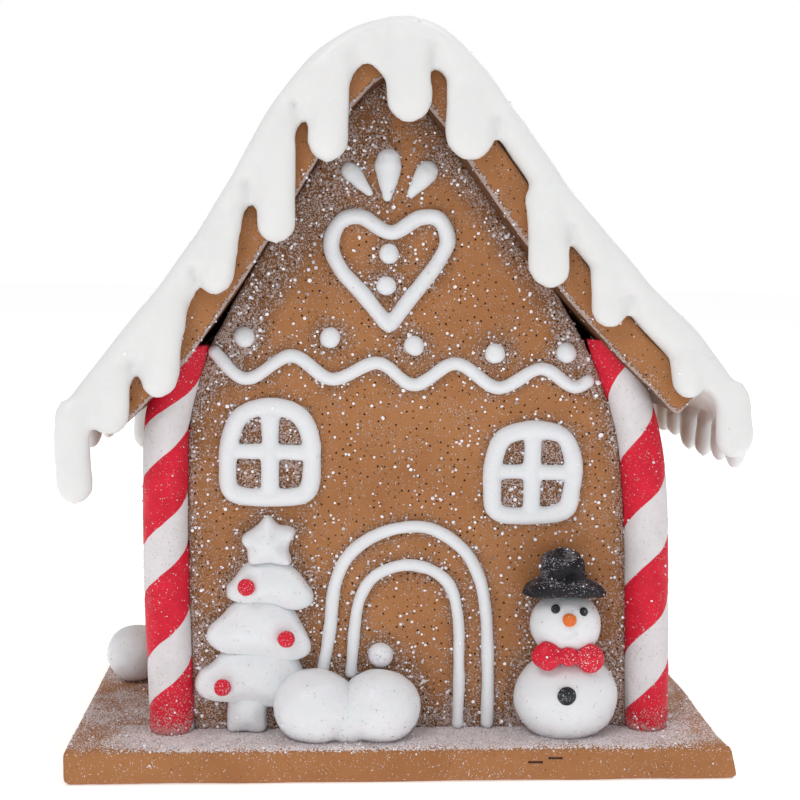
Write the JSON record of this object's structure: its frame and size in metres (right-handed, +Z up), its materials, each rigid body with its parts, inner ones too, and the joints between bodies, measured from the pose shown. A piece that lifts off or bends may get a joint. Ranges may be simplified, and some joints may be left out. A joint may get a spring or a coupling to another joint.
{
  "type": "gingerbread house ornament",
  "caption": "Small decorative gingerbread house of brown clay dough with white icing, candy cane columns, a tree and a snowman on a base board.",
  "frame": {"origin": "on the underside of the base board, under the middle of the house front to back and side to side", "axes": "+X to the right seen from the door side, -Y out of the door side, +Z up to the ridge"},
  "size_m": [0.1557, 0.1112, 0.169],
  "materials": {
    "dough": "matte baked clay with pinholes and glitter",
    "roof_icing": "soft satin white clay with fine glitter",
    "piped_icing": "satin white clay piping with glitter",
    "white_clay": "satin white clay with glitter",
    "candy_cane": "satin red clay with a white spiral band",
    "red_clay": "satin red clay",
    "black_clay": "black clay dusted with frost",
    "orange_clay": "matte orange clay"
  },
  "bodies": {
    "root": {"base_board": "dough", "front_wall": "dough", "back_wall": "dough", "left_wall": "dough", "right_wall": "dough", "roof_panel_left": "dough", "roof_panel_right": "dough", "roof_icing": "roof_icing", "cane_left": "candy_cane", "cane_right": "candy_cane", "zigzag": "piped_icing", "dot_1": "piped_icing", "dot_2": "piped_icing", "dot_3": "piped_icing", "dot_4": "piped_icing", "dot_5": "piped_icing", "heart": "piped_icing", "heart_dot_1": "piped_icing", "heart_dot_2": "piped_icing", "teardrop_1": "piped_icing", "teardrop_2": "piped_icing", "teardrop_3": "piped_icing", "window_left_frame": "piped_icing", "window_left_upright": "piped_icing", "window_left_bar_1": "piped_icing", "window_left_bar_2": "piped_icing", "window_right_frame": "piped_icing", "window_right_upright": "piped_icing", "window_right_bar_1": "piped_icing", "window_right_bar_2": "piped_icing", "arch_outer": "piped_icing", "arch_inner": "piped_icing", "door_knob": "piped_icing", "snowball_left": "white_clay", "snowball_right": "white_clay", "snowball_side": "white_clay", "tree_star": "white_clay", "tree_tier_1": "white_clay", "tree_tier_2": "white_clay", "tree_tier_3": "white_clay", "tree_trunk": "white_clay", "tree_ball_1": "red_clay", "tree_ball_2": "red_clay", "tree_ball_3": "red_clay", "snowman_body": "white_clay", "snowman_head": "white_clay", "hat_brim": "black_clay", "hat_crown": "black_clay", "bow_left": "red_clay", "bow_right": "red_clay", "bow_knot": "red_clay", "eye_left": "black_clay", "eye_right": "black_clay", "nose": "orange_clay", "button": "black_clay"}
  },
  "joints": []
}
